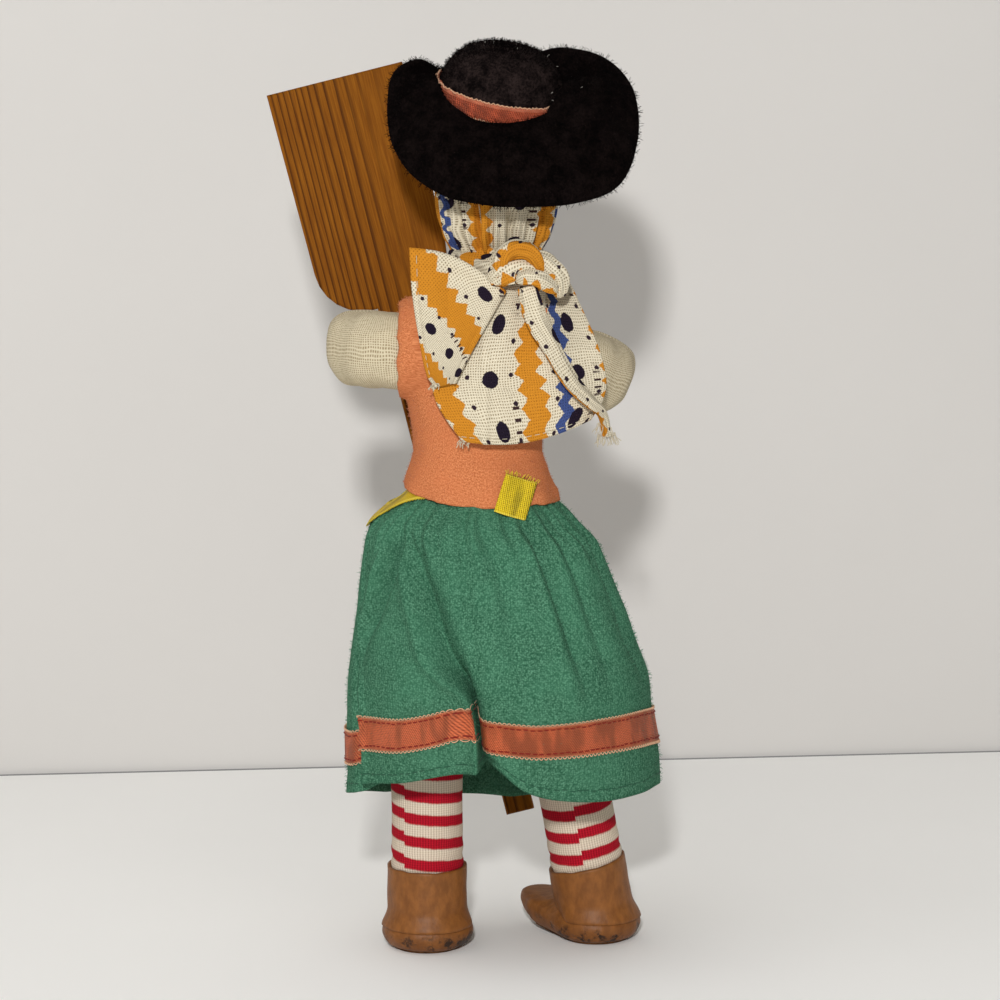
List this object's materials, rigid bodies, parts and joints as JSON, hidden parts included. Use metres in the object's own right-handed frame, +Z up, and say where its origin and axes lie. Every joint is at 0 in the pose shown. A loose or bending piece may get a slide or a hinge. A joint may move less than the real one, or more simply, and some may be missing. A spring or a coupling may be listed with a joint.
{
  "type": "cloth doll",
  "caption": "Standing cloth doll on a wire frame, in felt hat, printed headscarf, gathered skirt, striped stockings and leather shoes, with a wooden peel in one hand.",
  "frame": {"origin": "floor point under the middle of the doll's box", "axes": "+Z up, +Y the way the doll faces, +X the doll's right"},
  "size_m": [0.0804, 0.0655, 0.1834],
  "materials": {
    "wire": "bare drawn wire",
    "stuffing": "loose cotton",
    "linen": "plain weave, matt",
    "felt_salmon": "felt, raw edges",
    "felt_black": "fuzzy wool felt",
    "wool_green": "napped wool flannel",
    "satin_orange": "ribbed satin ribbon",
    "satin_yellow": "ribbed satin ribbon",
    "print_muslin": "printed open weave",
    "stocking_knit": "striped fine knit",
    "leather_tan": "scuffed, satin",
    "leather_sole": "worn, matt",
    "foot_metal": "rough cast",
    "wood": "waxed softwood, straight grain",
    "bead_black": "glossy bead",
    "thread_red": "stitched thread"
  },
  "bodies": {
    "torso": {"spine_wire": "wire", "body_stuffing": "stuffing", "body_skin": "linen", "bodice": "felt_salmon", "skirt": "wool_green", "skirt_ribbon": "satin_orange", "waist_ribbon": "satin_yellow", "waist_tab": "satin_yellow", "scarf_collar": "print_muslin", "scarf_knot": "print_muslin", "scarf_cape": "print_muslin", "scarf_flap": "print_muslin", "scarf_tail": "print_muslin"},
    "head": {"head_stuffing": "stuffing", "head_skin": "linen", "eyes": "bead_black", "nose": "linen", "mouth": "thread_red", "scarf_hood": "print_muslin", "hat_crown": "felt_black", "hat_brim": "felt_black", "hat_band": "satin_orange"},
    "left_arm": {"left_arm_wire": "wire", "left_arm_stuffing": "stuffing", "left_arm_skin": "linen"},
    "right_arm": {"right_arm_wire": "wire", "right_arm_stuffing": "stuffing", "right_arm_skin": "linen"},
    "left_leg": {"left_leg_wire": "wire", "left_leg_stuffing": "stuffing", "left_stocking": "stocking_knit", "left_boot_tube": "leather_tan", "left_shoe_upper": "leather_tan", "left_foot_weight": "foot_metal", "left_sole": "leather_sole"},
    "right_leg": {"right_leg_wire": "wire", "right_leg_stuffing": "stuffing", "right_stocking": "stocking_knit", "right_boot_tube": "leather_tan", "right_shoe_upper": "leather_tan", "right_foot_weight": "foot_metal", "right_sole": "leather_sole"},
    "peel": {"peel": "wood"}
  },
  "joints": [
    {"name": "neck_turn", "type": "hinge", "parent": "torso", "child": "head", "pos_m": [0.0073, -0.0047, 0.1415], "axis": [0, 0, 1], "range_deg": [-40, 40]},
    {"name": "left_shoulder", "type": "hinge", "parent": "torso", "child": "left_arm", "pos_m": [-0.0095, -0.0047, 0.1206], "axis": [0, 1, 0], "range_deg": [-28, 28]},
    {"name": "right_shoulder", "type": "hinge", "parent": "torso", "child": "right_arm", "pos_m": [0.0165, -0.0047, 0.1206], "axis": [0, -1, 0], "range_deg": [-5, 50]},
    {"name": "left_hip", "type": "hinge", "parent": "torso", "child": "left_leg", "pos_m": [-0.0069, -0.0047, 0.082], "axis": [1, 0, 0], "range_deg": [-13, 12]},
    {"name": "right_hip", "type": "hinge", "parent": "torso", "child": "right_leg", "pos_m": [0.01403, -0.0047, 0.082], "axis": [1, 0, 0], "range_deg": [-18, 5]},
    {"name": "peel_slide", "type": "slide", "parent": "left_arm", "child": "peel", "axis": [-0.2419, 0, 0.9703], "range_m": [-0.003, 0.04]}
  ]
}
